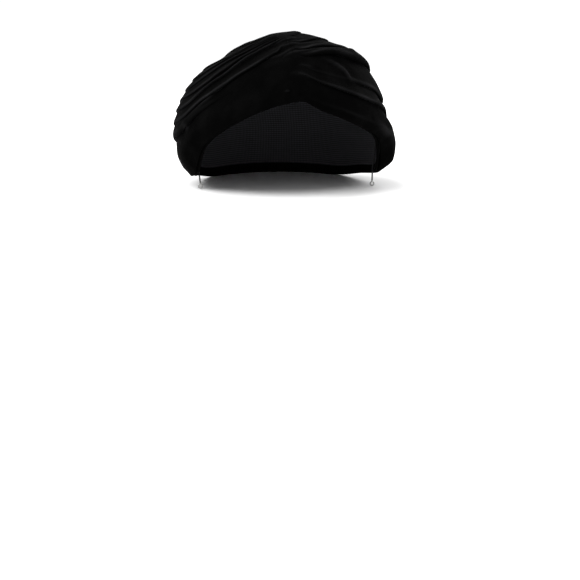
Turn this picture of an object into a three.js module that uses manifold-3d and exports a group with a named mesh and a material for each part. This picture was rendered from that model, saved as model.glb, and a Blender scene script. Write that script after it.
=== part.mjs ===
// Draped velvet cocktail hat, in millimetres with +Z up. The front faces -Y, and left and right are as the
// front view shows them, -X and +X. The hat stands on its back rim and on the eyes of its two wire grips.

import * as THREE from 'three';
import { mergeVertices } from 'three/addons/utils/BufferGeometryUtils.js';
import Module from 'manifold-3d';

const wasm = await Module();
wasm.setup();

// Crown: a fitted cap, widest a little above the ears and drawn in below that
const CROWN_HALF_WIDTH = 75.5;
const CROWN_HALF_LENGTH = 97;
const CROWN_HEIGHT = 115;
const CROWN_WALL = 2.2;
const WIDEST_LEVEL = 38;
const RIM_TUCK = 5;
const LEAN = 5; // how far the apex lies to the right of the rim's centre

// Height of the rim on each side, by the bearing from centre front in degrees
const RIM = [
  { bearing: 0, left: 73, right: 73 },
  { bearing: 10, left: 70.5, right: 66 },
  { bearing: 20, left: 65, right: 60.5 },
  { bearing: 30, left: 58, right: 54.5 },
  { bearing: 40, left: 50, right: 49 },
  { bearing: 50, left: 41.5, right: 43.5 },
  { bearing: 58, left: 33.5, right: 37 },
  { bearing: 65, left: 23, right: 27 },
  { bearing: 72, left: 14, right: 17 },
  { bearing: 80, left: 10, right: 11 },
  { bearing: 115, left: 5, right: 5 },
  { bearing: 145, left: 0, right: 0 },
  { bearing: 180, left: 0, right: 0 },
];

// Drapes: each wraps one half of the crown from centre front, past the ear, to centre back, and a seam over
// the top joins them. On the plan of the crown, with the apex at 0 and the rim at 1, the seam bows to the left,
// and a drape runs from its hem to an upper border on the seam.
const DRAPE_WALL = 2.2;
const SEAT_GAP = 0.7;
const SEAM = { hem: -0.012, bow: -0.07, gap: 0.006, swell: 3.5, width: 0.1 };
const BORDER_FRONT = -0.1;
const BORDER_BACK = 0.55;

// Where the tables below give their sizes, as shares of the way from centre front to centre back
const STATIONS = { front: 0, brow: 0.15, temple: 0.28, ear: 0.42, back: 1 };
const at = (front, brow, temple, ear, back) => ({ front, brow, temple, ear, back });

// How far a drape stands off the crown, by the share of the way across it from hem to upper border
const LEFT_BODY = [
  { across: 0, swell: at(0, 0, 0, 0, 0) },
  { across: 0.05, swell: at(1, 1, 1.9, 4.5, 0.5) },
  { across: 0.12, swell: at(1.5, 1.8, 4, 8, 1.5) },
  { across: 0.2, swell: at(1.5, 1.8, 4, 8.2, 2) },
  { across: 0.3, swell: at(1.5, 1.8, 4.6, 10.5, 2) },
  { across: 0.45, swell: at(1, 1.3, 4.1, 10, 2) },
  { across: 0.58, swell: at(1, 1, 3.5, 6.6, 1.5) },
  { across: 0.7, swell: at(1, 0.6, 0.8, 1.5, 1) },
  { across: 1, swell: at(1.5, 1.5, 1.5, 1.5, 1) },
];
const RIGHT_BODY = [
  { across: 0, swell: at(0, 0, 0, 0, 0) },
  { across: 0.05, swell: at(1.5, 1.9, 2.3, 5.8, 0.5) },
  { across: 0.12, swell: at(1.5, 1.8, 3.5, 7.5, 1.5) },
  { across: 0.2, swell: at(1.5, 1.1, 1.5, 1, 2) },
  { across: 0.3, swell: at(2, 1.3, 0.5, 0.2, 2) },
  { across: 0.45, swell: at(2.5, 3.8, 3.2, 3, 2) },
  { across: 0.55, swell: at(2, 3, 3.5, 2.5, 1.5) },
  { across: 0.7, swell: at(1.5, 1.3, 1.8, 1.8, 1) },
  { across: 1, swell: at(2.5, 2.5, 3.5, 3, 1) },
];

// The folds of each drape from the hem up: where each one's folded edge lies across the drape, and its rise.
// A fold is a pleat unless its section is given.
const LEFT_FOLDS = [
  { name: 'front band', edge: at(0, 0, 0, 0, 0), rise: at(0, 0, 0, 0, 0), section: 'band' },
  { name: 'ear pleat', edge: at(0.45, 0.3, 0.225, 0.2, 0.17), rise: at(0, 0, 0.5, 2.8, 1) },
  { name: 'fan pleat 1', edge: at(0.645, 0.44, 0.29, 0.27, 0.25), rise: at(1.5, 2, 2.5, 1.2, 1.5) },
  { name: 'fan pleat 2', edge: at(0.805, 0.64, 0.395, 0.325, 0.34), rise: at(1.5, 2.5, 2.5, 1.2, 1.5) },
  { name: 'fan pleat 3', edge: at(0.855, 0.725, 0.455, 0.38, 0.43), rise: at(1.5, 2.5, 2.5, 1.2, 1.5) },
  { name: 'fan pleat 4', edge: at(0.89, 0.785, 0.57, 0.435, 0.52), rise: at(1.5, 2, 2.5, 1.2, 1.5) },
  { name: 'fan pleat 5', edge: at(0.92, 0.835, 0.65, 0.5, 0.61), rise: at(1.5, 2, 2.5, 1.2, 1.5) },
  { name: 'top pleat', edge: at(0.945, 0.88, 0.735, 0.575, 0.72), rise: at(1, 1.5, 1.6, 1.2, 1.5) },
  { name: 'border', edge: at(0.97, 0.93, 0.84, 0.72, 0.85), rise: at(1, 1.5, 1.5, 2, 1.5), section: 'sewn' },
];
const RIGHT_FOLDS = [
  { name: 'hem roll', edge: at(0, 0, 0, 0, 0), rise: at(0, 1, 2.5, 3, 0), section: 'band' },
  { name: 'lower band', edge: at(0.245, 0.17, 0.165, 0.21, 0.2), rise: at(1, 2.6, 2.8, 2, 1.5) },
  { name: 'hooked pleat', edge: at(0.335, 0.285, 0.27, 0.32, 0.31), rise: at(0.3, 0.3, 2.2, 2.5, 2) },
  { name: 'puffed fold', edge: at(0.46, 0.485, 0.45, 0.49, 0.45), rise: at(0.5, 4, 5, 3.5, 2) },
  { name: 'upper pleat', edge: at(0.53, 0.585, 0.565, 0.61, 0.58), rise: at(2, 3, 2, 2.5, 2) },
  { name: 'top pleat', edge: at(0.675, 0.705, 0.715, 0.74, 0.72), rise: at(1.5, 1.5, 1.5, 1.5, 1.5) },
  { name: 'border', edge: at(0.83, 0.84, 0.85, 0.87, 0.86), rise: at(1, 1, 1, 1.5, 1.5), section: 'sewn' },
];

// Sections of a fold from its folded edge up to the next edge, with its rise as 1
const SECTIONS = {
  band: [
    { across: 0, rise: 0 },
    { across: 0.1, rise: 0.55 },
    { across: 0.25, rise: 1 },
    { across: 0.45, rise: 0.8 },
    { across: 0.65, rise: 0.4 },
    { across: 0.85, rise: 0.1 },
  ],
  pleat: [
    { across: 0, rise: 0 },
    { across: 0.15, rise: 0.8 },
    { across: 0.35, rise: 1 },
    { across: 0.7, rise: 0.5 },
  ],
  sewn: [
    { across: 0, rise: 0 },
    { across: 0.13, rise: 0.7 },
    { across: 0.28, rise: 1 },
    { across: 0.46, rise: 0.7 },
    { across: 0.64, rise: 0.35 },
    { across: 0.82, rise: 0.1 },
  ],
};

// Wire grips: covered spring wire up the inside of the crown, bent into an eye below the rim
const WIRE_RADIUS = 0.6;
const EYE_RADIUS = 1.45;
const GRIP_BEARING = 81;
const GRIP_STEM = { lowReach: 0.97, topReach: 0.74, points: 4 };
const GRIP_EYE = { halfSpan: 68.5, y: -15 };

// Facets
const CROWN_BEARINGS = 48;
const CROWN_RINGS = 14;
const PROFILE_STEPS = 40;
const DRAPE_STATIONS = 28;
const FRONT_SPACING = 0.65; // the stations' spacing at centre front, with an even spacing as 1
const WIRE_SIDES = 6;
const EYE_SIDES = 12;
const STEM_STEPS = 10;

const drapeVelvet = () => new THREE.MeshStandardMaterial({ color: 0x0b0b0c, roughness: 0.95, metalness: 0 });
const crownVelvet = () => new THREE.MeshStandardMaterial({ color: 0x141415, roughness: 1, metalness: 0 });
const springSteel = () => new THREE.MeshStandardMaterial({ color: 0x9a9a98, roughness: 0.35, metalness: 1 });

const { degToRad, lerp, smoothstep } = THREE.MathUtils;

// A curve through a table's points that never overshoots them, so that a level stretch stays level
function curveThrough(points) {
  const rate = (k) => (points[k + 1].y - points[k].y) / (points[k + 1].x - points[k].x);
  const slopes = points.map((point, k) => {
    if (k === 0 || k === points.length - 1) return 0;
    const [before, after] = [rate(k - 1), rate(k)];
    return before * after > 0 ? (2 * before * after) / (before + after) : 0;
  });
  return (x) => {
    let k = 0;
    while (k < points.length - 2 && x > points[k + 1].x) k += 1;
    const [a, b] = [points[k], points[k + 1]];
    const span = b.x - a.x;
    const t = THREE.MathUtils.clamp((x - a.x) / span, 0, 1);
    const rise = t * t * (3 - 2 * t);
    return a.y + (b.y - a.y) * rise + span * t * (1 - t) * (slopes[k] * (1 - t) - slopes[k + 1] * t);
  };
}

const stationCurve = (row) =>
  curveThrough(Object.entries(STATIONS).map(([station, along]) => ({ x: along, y: row[station] })));

const rimCurves = {
  left: curveThrough(RIM.map((row) => ({ x: row.bearing, y: row.left }))),
  right: curveThrough(RIM.map((row) => ({ x: row.bearing, y: row.right }))),
};

function rimHeight(bearing) {
  const turn = THREE.MathUtils.euclideanModulo(bearing + 180, 360) - 180;
  return turn < 0 ? rimCurves.left(-turn) : rimCurves.right(turn);
}

// The crown's outer face in one upright plane, from the apex to the rim, grown outward by swell
function profile(bearing, swell) {
  const turn = degToRad(bearing);
  const radius =
    1 / Math.hypot(Math.sin(turn) / (CROWN_HALF_WIDTH + swell), Math.cos(turn) / (CROWN_HALF_LENGTH + swell));
  const shoulder = CROWN_HEIGHT + swell - WIDEST_LEVEL;
  const rim = rimHeight(bearing);
  const lastAngle = Math.acos(Math.max(0, (rim - WIDEST_LEVEL) / shoulder));
  const points = [];
  for (let k = 0; k <= PROFILE_STEPS; k += 1) {
    const angle = (lastAngle * k) / PROFILE_STEPS;
    points.push(new THREE.Vector2(radius * Math.sin(angle), WIDEST_LEVEL + shoulder * Math.cos(angle)));
  }
  for (let k = 1; rim < WIDEST_LEVEL && k <= PROFILE_STEPS; k += 1) {
    const height = lerp(WIDEST_LEVEL, rim, k / PROFILE_STEPS);
    points.push(new THREE.Vector2(radius - RIM_TUCK * (1 - height / WIDEST_LEVEL) ** 2, height));
  }
  return points;
}

// A point of the hat: reach is the share of the way from the apex (0) down to the rim (1)
function hatPoint(bearing, reach, swell) {
  const points = profile(bearing, swell);
  const lengths = points.slice(1).map((point, k) => point.distanceTo(points[k]));
  let left = reach * lengths.reduce((sum, length) => sum + length, 0);
  let k = 0;
  while (k < lengths.length - 1 && left > lengths[k]) {
    left -= lengths[k];
    k += 1;
  }
  const { x: radius, y: height } = points[k].clone().lerp(points[k + 1], left / lengths[k]);
  const turn = degToRad(bearing);
  const lean = LEAN * Math.max(0, (height - WIDEST_LEVEL) / (CROWN_HEIGHT - WIDEST_LEVEL));
  return new THREE.Vector3(lean + radius * Math.sin(turn), -radius * Math.cos(turn), height);
}

// A closed solid from its points and triangles, with its faces pointing out
function solidGeometry(points, triangles) {
  const volume = triangles.reduce((sum, triangle) => {
    const [a, b, c] = triangle.map((k) => points[k]);
    return sum + a.dot(new THREE.Vector3().crossVectors(b, c));
  }, 0);
  const facing = volume > 0 ? triangles : triangles.map(([a, b, c]) => [a, c, b]);
  const geometry = new THREE.BufferGeometry().setFromPoints(points);
  geometry.setIndex(facing.flat());
  geometry.computeVertexNormals();
  return geometry;
}

const quad = (a, b, c, d) => [
  [a, b, c],
  [a, c, d],
];

// The hollow cap: an outer and an inner dome, each with one point at its apex, joined along the rim
function crownGeometry() {
  const points = [];
  const triangles = [];
  const domes = [0, -CROWN_WALL].map((swell) => {
    const first = points.length;
    points.push(hatPoint(0, 0, swell));
    for (let ring = 1; ring <= CROWN_RINGS; ring += 1) {
      for (let k = 0; k < CROWN_BEARINGS; k += 1) {
        points.push(hatPoint((360 * k) / CROWN_BEARINGS, ring / CROWN_RINGS, swell));
      }
    }
    return (ring, k) => (ring === 0 ? first : first + 1 + (ring - 1) * CROWN_BEARINGS + (k % CROWN_BEARINGS));
  });
  const [outer, inner] = domes;
  for (let k = 0; k < CROWN_BEARINGS; k += 1) {
    triangles.push([outer(0, 0), outer(1, k), outer(1, k + 1)]);
    triangles.push([inner(0, 0), inner(1, k + 1), inner(1, k)]);
    for (let ring = 1; ring < CROWN_RINGS; ring += 1) {
      triangles.push(...quad(outer(ring, k), outer(ring + 1, k), outer(ring + 1, k + 1), outer(ring, k + 1)));
      triangles.push(...quad(inner(ring, k), inner(ring, k + 1), inner(ring + 1, k + 1), inner(ring + 1, k)));
    }
    const rim = CROWN_RINGS;
    triangles.push(...quad(outer(rim, k), inner(rim, k), inner(rim, k + 1), outer(rim, k + 1)));
  }
  return solidGeometry(points, triangles);
}

// How far to the right the seam lies on the plan, beside the drape on one side of it
const seamX = (y, side) => SEAM.hem + SEAM.bow * (1 - y * y) + (side * SEAM.gap) / 2;

// The plan position of a drape's point, with x to the right and y to the back
function planPoint(drape, along, across) {
  const start = Math.asin(seamX(1, drape.side));
  const turn = lerp(start, drape.side * Math.PI - start, along);
  const hem = new THREE.Vector2(Math.sin(turn), -Math.cos(turn));
  const y = lerp(BORDER_FRONT, BORDER_BACK, along);
  return hem.lerp(new THREE.Vector2(seamX(y, drape.side), y), across);
}

// The folds are drawn in along the seam, where both drapes stand off the crown alike
function seamedSwell(plan, across, folds) {
  const fromSeam = Math.abs(plan.x - SEAM.hem - SEAM.bow * (1 - plan.y * plan.y));
  const atSeam = SEAM.swell * smoothstep(across, 0, SEAM.width);
  return lerp(atSeam, folds, smoothstep(fromSeam, 0, SEAM.width));
}

// The shares across a drape where its rows lie at one station, with the rise of its folds there
function foldRows(drape, along) {
  const rows = [];
  drape.folds.forEach((fold, k) => {
    const start = stationCurve(fold.edge)(along);
    const end = k + 1 < drape.folds.length ? stationCurve(drape.folds[k + 1].edge)(along) : 1;
    const rise = stationCurve(fold.rise)(along);
    SECTIONS[fold.section ?? 'pleat'].forEach((row) => {
      rows.push({ across: lerp(start, end, row.across), rise: rise * row.rise });
    });
  });
  return [...rows, { across: 1, rise: 0 }];
}

// The pleated wall: an outer and an inner grid that follow the folds, joined round the border
function drapeGeometry(drape) {
  const outer = [];
  const inner = [];
  for (let k = 0; k <= DRAPE_STATIONS; k += 1) {
    const share = k / DRAPE_STATIONS;
    const along = share * lerp(FRONT_SPACING, 1, share);
    const bodyRow = ({ across, swell }) => ({ x: across, y: stationCurve(swell)(along) });
    const body = curveThrough(drape.body.map(bodyRow));
    const rows = foldRows(drape, along).map(({ across, rise }) => {
      const plan = planPoint(drape, along, across);
      const bearing = THREE.MathUtils.radToDeg(Math.atan2(plan.x, -plan.y));
      const swell = SEAT_GAP + seamedSwell(plan, across, body(across) + rise);
      return [swell + DRAPE_WALL, swell].map((height) => hatPoint(bearing, plan.length(), height));
    });
    outer.push(rows.map((row) => row[0]));
    inner.push(rows.map((row) => row[1]));
  }
  const width = outer[0].length;
  const points = [...outer.flat(), ...inner.flat()];
  const out = (i, j) => i * width + j;
  const under = (i, j) => outer.length * width + out(i, j);
  const triangles = [];
  const [lastStation, lastRow] = [outer.length - 1, width - 1];
  for (let i = 0; i < lastStation; i += 1) {
    for (let j = 0; j < lastRow; j += 1) {
      triangles.push(...quad(out(i, j), out(i + 1, j), out(i + 1, j + 1), out(i, j + 1)));
      triangles.push(...quad(under(i, j), under(i, j + 1), under(i + 1, j + 1), under(i + 1, j)));
    }
    triangles.push(...quad(out(i, 0), under(i, 0), under(i + 1, 0), out(i + 1, 0)));
    triangles.push(...quad(out(i, lastRow), out(i + 1, lastRow), under(i + 1, lastRow), under(i, lastRow)));
  }
  for (let j = 0; j < lastRow; j += 1) {
    triangles.push(...quad(out(0, j), out(0, j + 1), under(0, j + 1), under(0, j)));
    triangles.push(
      ...quad(out(lastStation, j), under(lastStation, j), under(lastStation, j + 1), out(lastStation, j + 1)),
    );
  }
  return solidGeometry(points, triangles);
}

function solidOf(geometry) {
  const bare = geometry.clone();
  bare.deleteAttribute('normal');
  bare.deleteAttribute('uv');
  const merged = mergeVertices(bare);
  const vertProperties = new Float32Array(merged.attributes.position.array);
  const triVerts = new Uint32Array(merged.index.array);
  return new wasm.Manifold(new wasm.Mesh({ numProp: 3, vertProperties, triVerts }));
}

function geometryOf(solid) {
  const mesh = solid.getMesh();
  const geometry = new THREE.BufferGeometry();
  geometry.setAttribute('position', new THREE.BufferAttribute(mesh.vertProperties, 3));
  geometry.setIndex(new THREE.BufferAttribute(mesh.triVerts, 1));
  geometry.computeVertexNormals();
  return geometry;
}

// One wire grip: the eye stands on the floor, and the stem rises from it to lie inside the crown's wall
function gripGeometry(side) {
  const eye = new THREE.TorusGeometry(EYE_RADIUS, WIRE_RADIUS, WIRE_SIDES, EYE_SIDES);
  eye.rotateX(Math.PI / 2);
  const eyeHeight = EYE_RADIUS + WIRE_RADIUS;
  eye.translate(side * GRIP_EYE.halfSpan, GRIP_EYE.y, eyeHeight);
  const inside = -(CROWN_WALL + SEAT_GAP + WIRE_RADIUS);
  const stem = [new THREE.Vector3(side * GRIP_EYE.halfSpan, GRIP_EYE.y, eyeHeight + EYE_RADIUS)];
  for (let k = 0; k < GRIP_STEM.points; k += 1) {
    const reach = lerp(GRIP_STEM.lowReach, GRIP_STEM.topReach, k / (GRIP_STEM.points - 1));
    stem.push(hatPoint(side * GRIP_BEARING, reach, inside));
  }
  const section = new THREE.Shape().absarc(0, 0, WIRE_RADIUS, 0, 2 * Math.PI);
  const rod = new THREE.ExtrudeGeometry(section, {
    extrudePath: new THREE.CatmullRomCurve3(stem),
    steps: STEM_STEPS,
    curveSegments: WIRE_SIDES / 2,
  });
  return geometryOf(solidOf(eye).add(solidOf(rod)));
}

const leftDrape = { side: -1, body: LEFT_BODY, folds: LEFT_FOLDS };
const rightDrape = { side: 1, body: RIGHT_BODY, folds: RIGHT_FOLDS };

const pieces = [
  { name: 'crown', geometry: crownGeometry(), material: crownVelvet() },
  { name: 'left_drape', geometry: drapeGeometry(leftDrape), material: drapeVelvet() },
  { name: 'right_drape', geometry: drapeGeometry(rightDrape), material: drapeVelvet() },
  { name: 'left_wire_grip', geometry: gripGeometry(-1), material: springSteel() },
  { name: 'right_wire_grip', geometry: gripGeometry(1), material: springSteel() },
];

const hat = new THREE.Group();
for (const { name, geometry, material } of pieces) {
  const mesh = new THREE.Mesh(geometry, material);
  mesh.name = name;
  hat.add(mesh);
}

// The frame's origin lies under the middle of the whole hat
const middle = new THREE.Box3().setFromObject(hat).getCenter(new THREE.Vector3());
for (const { geometry } of pieces) geometry.translate(-middle.x, -middle.y, 0);

export default hat;
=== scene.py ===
# %% [markdown]
# # A draped velvet cocktail hat
# The hat is a fitted cap of black velvet, cut up in an arch over the face and running down past the ears to
# the back. Two draped pieces cover it. The left one has a smooth band along the front edge and a fan of fine
# pleats above it, the right one is a stack of soft folds, and a seam joins them over the top. A thread-wound
# wire grip with a bare steel eye comes out at each ear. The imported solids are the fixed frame, and each cloth
# piece is rebuilt here at the scale where folds, rolled edges and pile show.

import math

import bmesh
import bpy
import numpy as np
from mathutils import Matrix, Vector, noise


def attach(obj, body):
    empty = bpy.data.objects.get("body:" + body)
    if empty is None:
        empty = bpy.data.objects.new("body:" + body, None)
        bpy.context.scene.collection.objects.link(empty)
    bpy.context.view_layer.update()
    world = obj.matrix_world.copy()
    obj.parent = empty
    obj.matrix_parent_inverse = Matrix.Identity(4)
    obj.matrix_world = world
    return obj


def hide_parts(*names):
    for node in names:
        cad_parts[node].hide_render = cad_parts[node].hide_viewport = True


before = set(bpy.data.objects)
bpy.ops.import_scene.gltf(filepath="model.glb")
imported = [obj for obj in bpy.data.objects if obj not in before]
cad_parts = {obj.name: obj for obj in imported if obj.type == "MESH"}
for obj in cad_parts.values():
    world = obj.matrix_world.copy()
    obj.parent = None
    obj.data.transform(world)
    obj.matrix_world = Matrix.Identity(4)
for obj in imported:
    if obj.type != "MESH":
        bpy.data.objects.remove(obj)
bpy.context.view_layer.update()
print("packed nodes:", sorted(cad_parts))

# %% [markdown]
# ## The form that the cloth lies on
# On the real hat the cloth takes its form from the cap, so one surface carries everything. It could be
# sculpted, or modelled as a cage and subdivided. A function is better here, because each cloth layer is then
# the same surface grown outward by its stand-off, and layers can't cut through each other. In plan the cap is
# an ellipse, in side view too, and below its widest level it is drawn in towards the rim. The rim is high
# over the face and level round the back, where the hat rests.

# %% Sizes of the cap, in millimetres
MM = 0.001
HALF_WIDTH = 75.5
HALF_LENGTH = 97.0
HEIGHT = 115.0
WIDEST_LEVEL = 38.0
RIM_TUCK = 5.0
LEAN = 5.0  # how far the apex lies to the right of the rim's centre
CAP_WALL = 2.2
PROFILE_STEPS = 40

# Rim height on each side, by the bearing from centre front in degrees
RIM = [
    {"bearing": 0, "left": 73, "right": 73},
    {"bearing": 10, "left": 70.5, "right": 66},
    {"bearing": 20, "left": 65, "right": 60.5},
    {"bearing": 30, "left": 58, "right": 54.5},
    {"bearing": 40, "left": 50, "right": 49},
    {"bearing": 50, "left": 41.5, "right": 43.5},
    {"bearing": 58, "left": 33.5, "right": 37},
    {"bearing": 65, "left": 23, "right": 27},
    {"bearing": 72, "left": 14, "right": 17},
    {"bearing": 80, "left": 10, "right": 11},
    {"bearing": 115, "left": 5, "right": 5},
    {"bearing": 145, "left": 0, "right": 0},
    {"bearing": 180, "left": 0, "right": 0},
]


# %% A curve through a table
def curve_through(xs, ys):
    """A smooth curve through a table's points that never overshoots them."""
    xs = np.asarray(xs, float)
    ys = np.asarray(ys, float)
    rate = np.diff(ys) / np.diff(xs)
    slopes = np.zeros(len(xs))
    for k in range(1, len(xs) - 1):
        if rate[k - 1] * rate[k] > 0:
            slopes[k] = 2 * rate[k - 1] * rate[k] / (rate[k - 1] + rate[k])

    def curve(x):
        k = np.clip(np.searchsorted(xs, x, side="right") - 1, 0, len(xs) - 2)
        span = xs[k + 1] - xs[k]
        t = np.clip((x - xs[k]) / span, 0, 1)
        rise = t * t * (3 - 2 * t)
        bend = span * t * (1 - t) * (slopes[k] * (1 - t) - slopes[k + 1] * t)
        return ys[k] + (ys[k + 1] - ys[k]) * rise + bend

    return curve


bearings = [row["bearing"] for row in RIM]
left_rim = curve_through(bearings, [row["left"] for row in RIM])
right_rim = curve_through(bearings, [row["right"] for row in RIM])


def rim_height(bearing):
    turn = (bearing + 180) % 360 - 180
    return np.where(turn < 0, left_rim(-turn), right_rim(turn))


# %% A point of the hat
# The frame's origin is under the middle of the whole hat, so the cap's own axis stands a little off it. The
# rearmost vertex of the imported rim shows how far.
rim_back = max(
    (v.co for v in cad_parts["crown"].data.vertices if v.co.z < MM / 10),
    key=lambda co: co.y,
)
AXIS = np.array([rim_back.x / MM, rim_back.y / MM - (HALF_LENGTH - RIM_TUCK), 0])


def hat_points(bearing, reach, swell):
    """Points of the hat: reach is the share of the way from the apex to the rim, swell the growth outward."""
    turn = np.radians(bearing)
    across_hat = np.sin(turn) / (HALF_WIDTH + swell)
    along_hat = np.cos(turn) / (HALF_LENGTH + swell)
    radius = (1 / np.hypot(across_hat, along_hat))[:, None]
    shoulder = HEIGHT + swell - WIDEST_LEVEL
    rim = rim_height(bearing)
    last_angle = np.arccos(np.clip((rim - WIDEST_LEVEL) / shoulder, 0, 1))
    steps = np.linspace(0, 1, PROFILE_STEPS + 1)
    angle = last_angle[:, None] * steps
    dome_r = radius * np.sin(angle)
    dome_z = WIDEST_LEVEL + shoulder[:, None] * np.cos(angle)
    band_z = WIDEST_LEVEL + (rim[:, None] - WIDEST_LEVEL) * steps[1:]
    band_r = radius - RIM_TUCK * (1 - band_z / WIDEST_LEVEL) ** 2
    low = (rim < WIDEST_LEVEL)[:, None]
    profile_r = np.hstack([dome_r, np.where(low, band_r, dome_r[:, -1:])])
    profile_z = np.hstack([dome_z, np.where(low, band_z, dome_z[:, -1:])])
    lengths = np.hypot(np.diff(profile_r), np.diff(profile_z))
    walked = np.hstack([np.zeros((len(turn), 1)), np.cumsum(lengths, axis=1)])
    goal = reach * walked[:, -1]
    k = np.clip((walked <= goal[:, None]).sum(axis=1) - 1, 0, lengths.shape[1] - 1)
    row = np.arange(len(turn))
    share = np.clip((goal - walked[row, k]) / np.maximum(lengths[row, k], 1e-9), 0, 1)
    r = profile_r[row, k] + (profile_r[row, k + 1] - profile_r[row, k]) * share
    z = profile_z[row, k] + (profile_z[row, k + 1] - profile_z[row, k]) * share
    lean = LEAN * np.maximum(0, (z - WIDEST_LEVEL) / (HEIGHT - WIDEST_LEVEL))
    x = lean + r * np.sin(turn)
    y = -r * np.cos(turn)
    return (np.stack([x, y, z], axis=1) + AXIS) * MM


print("the cap's axis stands at", np.round(AXIS[:2], 2), "mm")

# %% [markdown]
# ## Materials: colours and nodes
# Colours are written as sRGB hex, the values that a colour picker shows, and one function turns them to the
# linear numbers that Blender's sockets take. One more function adds a node, sets it and links it, so that
# each material reads as a list of what it is made of.


# %% Colour and node helpers
def linear(hex_colour):
    """An sRGB hex colour as linear red, green, blue and alpha."""
    channels = [int(hex_colour[k : k + 2], 16) / 255 for k in (0, 2, 4)]
    return [c / 12.92 if c <= 0.04045 else ((c + 0.055) / 1.055) ** 2.4 for c in channels] + [1.0]


def add_node(tree, kind, inputs=None, **settings):
    """A node with its settings, and its inputs either set to a value or linked to another node's output."""
    node = tree.nodes.new(kind)
    for name, value in settings.items():
        setattr(node, name, value)
    for name, value in (inputs or {}).items():
        if isinstance(value, bpy.types.NodeSocket):
            tree.links.new(value, node.inputs[name])
        else:
            node.inputs[name].default_value = value
    return node


def new_material(name):
    material = bpy.data.materials.new(name)
    material.use_nodes = True
    material.node_tree.nodes.clear()
    return material, material.node_tree


def finish_material(tree, shader):
    add_node(tree, "ShaderNodeOutputMaterial", {"Surface": shader.outputs["BSDF"]})


# %% [markdown]
# ## Black velvet
# Velvet is a woven cloth with a dense cut pile. The pile swallows light that falls straight on it, so the
# flat parts are the deepest black on the hat, and it scatters light along the sides of the fibres, so a fold
# that turns away from the eye gets a soft grey edge. A sheen lobe gives that edge, and a low specular level
# keeps the rest black. The pile is brushed one way here and crushed another there, which shows as slow
# patches a little lighter than the rest. Along the crest of each fold the colour turns grey in a thin line: a
# painted highlight, for the light that a crest catches. Hair particles could stand for the pile, but they
# would be far too many, so the shader does it.

# %% Velvet
PILE_CLUMP_MM = 0.7  # real fibres are near 0.02 mm: drawn as clumps of them, so that they show
CRUSH_MM = 16.0
# how much of a crest's painted highlight reaches the colour
HIGHLIGHT_GREY = 0.9


def velvet(name, flat_colour, crushed_colour, highlight_colour, sheen):
    """Cotton velvet, woven and cut: deep black, grey at grazing angles, with a painted highlight on fold tops.
    """
    material, tree = new_material(name)
    place = add_node(tree, "ShaderNodeTexCoord").outputs["Object"]
    crush = add_node(
        tree,
        "ShaderNodeTexNoise",
        {"Vector": place, "Scale": 1 / (CRUSH_MM * MM), "Detail": 3.0, "Roughness": 0.55},
    )
    crushed = add_node(
        tree,
        "ShaderNodeMapRange",
        {"Value": crush.outputs["Fac"], "From Min": 0.42, "From Max": 0.7},
    )
    body = add_node(
        tree,
        "ShaderNodeMix",
        {"Factor": crushed.outputs["Result"], "A": linear(flat_colour), "B": linear(crushed_colour)},
        data_type="RGBA",
    )
    pile = add_node(
        tree,
        "ShaderNodeTexNoise",
        {"Vector": place, "Scale": 1 / (PILE_CLUMP_MM * MM), "Detail": 2.0},
    )
    # painted highlight: on the crests of folds the colour turns grey, broken up by the pile's noise
    crest_highlight = add_node(tree, "ShaderNodeAttribute", attribute_name="crest_highlight")
    highlight_on_pile = add_node(
        tree,
        "ShaderNodeMath",
        {0: crest_highlight.outputs["Fac"], 1: pile.outputs["Fac"]},
        operation="MULTIPLY",
    )
    grey = add_node(
        tree,
        "ShaderNodeMath",
        {0: highlight_on_pile.outputs["Value"], 1: HIGHLIGHT_GREY},
        operation="MULTIPLY",
        use_clamp=True,
    )
    colour = add_node(
        tree,
        "ShaderNodeMix",
        {"Factor": grey.outputs["Value"], "A": body.outputs["Result"], "B": linear(highlight_colour)},
        data_type="RGBA",
    )
    bump = add_node(
        tree,
        "ShaderNodeBump",
        {"Strength": 0.35, "Distance": 0.25 * MM, "Height": pile.outputs["Fac"]},
    )
    shader = add_node(
        tree,
        "ShaderNodeBsdfPrincipled",
        {
            "Base Color": colour.outputs["Result"],
            "Roughness": 0.95,
            "Specular IOR Level": 0.008,
            "Sheen Weight": sheen,
            "Sheen Roughness": 0.1,
            "Sheen Tint": linear("d8d8dc"),
            "Normal": bump.outputs["Normal"],
        },
    )
    finish_material(tree, shader)
    return material


# the third colour is the grey of the painted highlight on fold crests
drape_velvet = velvet("black_velvet", "030303", "060606", "2b2b2c", sheen=0.08)
print("material:", drape_velvet.name)

# %% [markdown]
# ## The woven back of velvet
# Inside the cap the cloth shows its back: a plain weave of black cotton, with no pile. It is matte and a
# little greyer than the face, so the arched front edge reads against it. Two wave textures at right angles
# would slide on a dome, so the weave is drawn from the hat's own height and bearing, which the mesh carries
# as an attribute in millimetres.

# %% Woven back
THREAD_MM = 1.2  # real threads are near 0.3 mm: drawn coarser so that they show


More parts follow.
